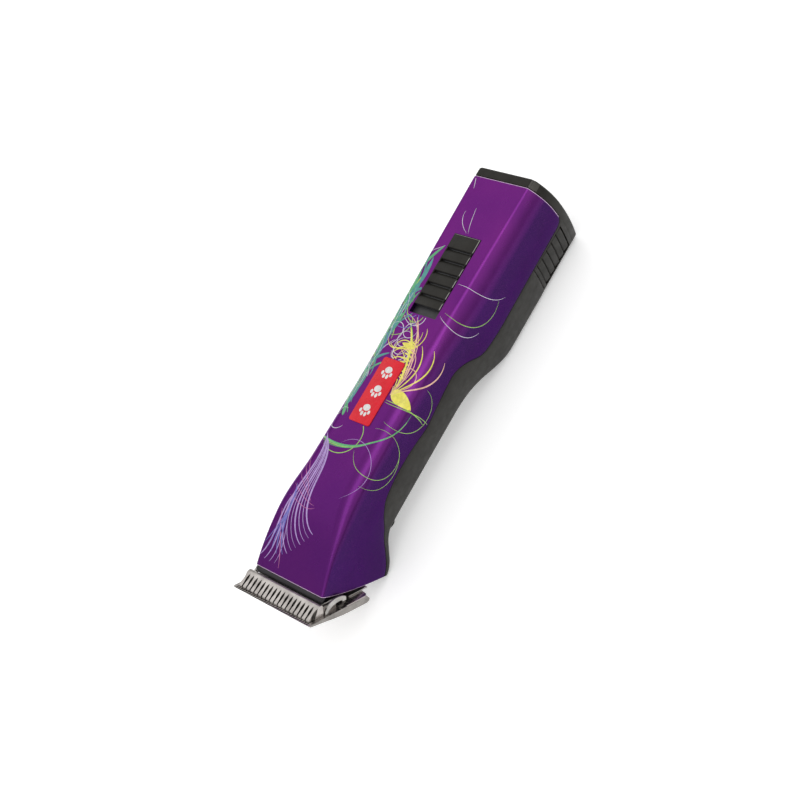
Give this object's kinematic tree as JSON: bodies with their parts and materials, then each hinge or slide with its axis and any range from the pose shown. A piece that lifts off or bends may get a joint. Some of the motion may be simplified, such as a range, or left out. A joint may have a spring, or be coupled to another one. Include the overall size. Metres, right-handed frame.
{
  "type": "cordless pet clipper",
  "caption": "Cordless pet grooming clipper with a detachable blade set, folding blade hinge, sliding switch, geared crank drive and pull-out battery pack.",
  "frame": {"origin": "on the resting plane, under the middle of the whole length and width", "axes": "+X from the blade to the battery end, +Z out of the flat top face, +Y to the left when the blade points away"},
  "size_m": [0.21, 0.0496, 0.0486],
  "materials": {
    "lacquer": "metallic purple lacquer, clear coated",
    "satin_dark": "satin dark grey moulding with a fine texture",
    "grip_dark": "ribbed soft-touch moulding",
    "nose_black": "dark grey moulding",
    "badge_red": "gloss red",
    "zinc_screw": "zinc plated",
    "cast_alloy": "die cast",
    "motor_steel": "drawn steel, satin",
    "cream_nylon": "natural nylon",
    "bronze": "sintered bronze",
    "bright_steel": "ground and polished",
    "dark_steel": "blackened steel",
    "board_green": "solder mask",
    "black_plastic": "black moulding",
    "gold_contact": "gold plated",
    "copper_wound": "laminations with enamelled copper",
    "pinion_brass": "machined",
    "lever_steel": "stamped steel",
    "blade_steel": "ground tool steel",
    "spring_steel": "spring steel, satin",
    "cell_sleeve": "shrink sleeve"
  },
  "bodies": {
    "housing": {"upper_shell": "lacquer", "lower_shell": "satin_dark", "nose_frame": "nose_black", "badge": "badge_red", "housing_screws": "zinc_screw", "gear_frame": "cast_alloy", "motor_can": "motor_steel", "motor_end_bell": "cream_nylon", "motor_screws": "zinc_screw", "motor_bushings": "bronze", "crank_bearings": "bright_steel", "lever_pivot_pin": "bright_steel", "hinge_base": "dark_steel", "hinge_screws": "zinc_screw", "hinge_pin": "bright_steel", "circuit_board": "board_green", "micro_switch": "black_plastic", "terminal_block": "black_plastic", "terminal_springs": "gold_contact"},
    "rotor": {"motor_shaft": "bright_steel", "motor_armature": "copper_wound", "pinion_gear": "pinion_brass"},
    "crank": {"drive_gear": "cream_nylon", "crankshaft": "bright_steel", "crank_roller": "bright_steel"},
    "lever": {"drive_lever": "lever_steel", "lever_bushing": "bronze", "lever_tip": "cream_nylon"},
    "tongue": {"hinge_tongue": "dark_steel"},
    "blade_set": {"comb_blade": "blade_steel", "blade_socket": "spring_steel", "tension_spring": "spring_steel", "blade_screws": "zinc_screw"},
    "cutter": {"cutter_blade": "blade_steel", "cutter_guide": "black_plastic"},
    "switch": {"switch_slider": "grip_dark"},
    "battery": {"battery_case": "black_plastic", "battery_lid": "black_plastic", "battery_cells": "cell_sleeve", "battery_contacts": "gold_contact", "battery_cap": "satin_dark", "grip_spring_left": "bright_steel", "grip_spring_right": "bright_steel"},
    "left_grip": {"grip_left": "grip_dark"},
    "right_grip": {"grip_right": "grip_dark"}
  },
  "joints": [
    {"name": "motor_spin", "type": "hinge", "parent": "housing", "child": "rotor", "pos_m": [-0.02, 0, 0.0295], "axis": [1, 0, 0], "continuous": true},
    {"name": "crank_spin", "type": "hinge", "parent": "housing", "child": "crank", "pos_m": [-0.04, 0, 0.0385], "axis": [1, 0, 0], "continuous": true},
    {"name": "lever_swing", "type": "hinge", "parent": "housing", "child": "lever", "pos_m": [-0.067, 0, 0.0355], "axis": [0, 0, 1], "range_deg": [-3.4, 3.4]},
    {"name": "blade_fold", "type": "hinge", "parent": "housing", "child": "tongue", "pos_m": [-0.0762, 0, 0.00921], "axis": [0, -1, 0], "range_deg": [0, 35]},
    {"name": "blade_slide", "type": "slide", "parent": "tongue", "child": "blade_set", "axis": [-0.7431, 0, 0.6691], "range_m": [0, 0.014]},
    {"name": "cutter_stroke", "type": "slide", "parent": "blade_set", "child": "cutter", "axis": [0, 1, 0], "range_m": [-0.0015, 0.0015]},
    {"name": "switch_slide", "type": "slide", "parent": "housing", "child": "switch", "axis": [-1, 0, 0], "range_m": [0, 0.004]},
    {"name": "battery_slide", "type": "slide", "parent": "housing", "child": "battery", "axis": [1, 0, 0], "range_m": [0, 0.07]},
    {"name": "left_grip_press", "type": "slide", "parent": "battery", "child": "left_grip", "axis": [0, -1, 0], "range_m": [0, 0.0012], "stiffness_N_per_m": 400},
    {"name": "right_grip_press", "type": "slide", "parent": "battery", "child": "right_grip", "axis": [0, 1, 0], "range_m": [0, 0.0012], "stiffness_N_per_m": 400}
  ],
  "couplings": [
    {"joint": "crank_spin", "follows": "motor_spin", "ratio": -0.5},
    {"joint": "lever_swing", "follows": "cutter_stroke", "rad_per_m": -39.5}
  ]
}
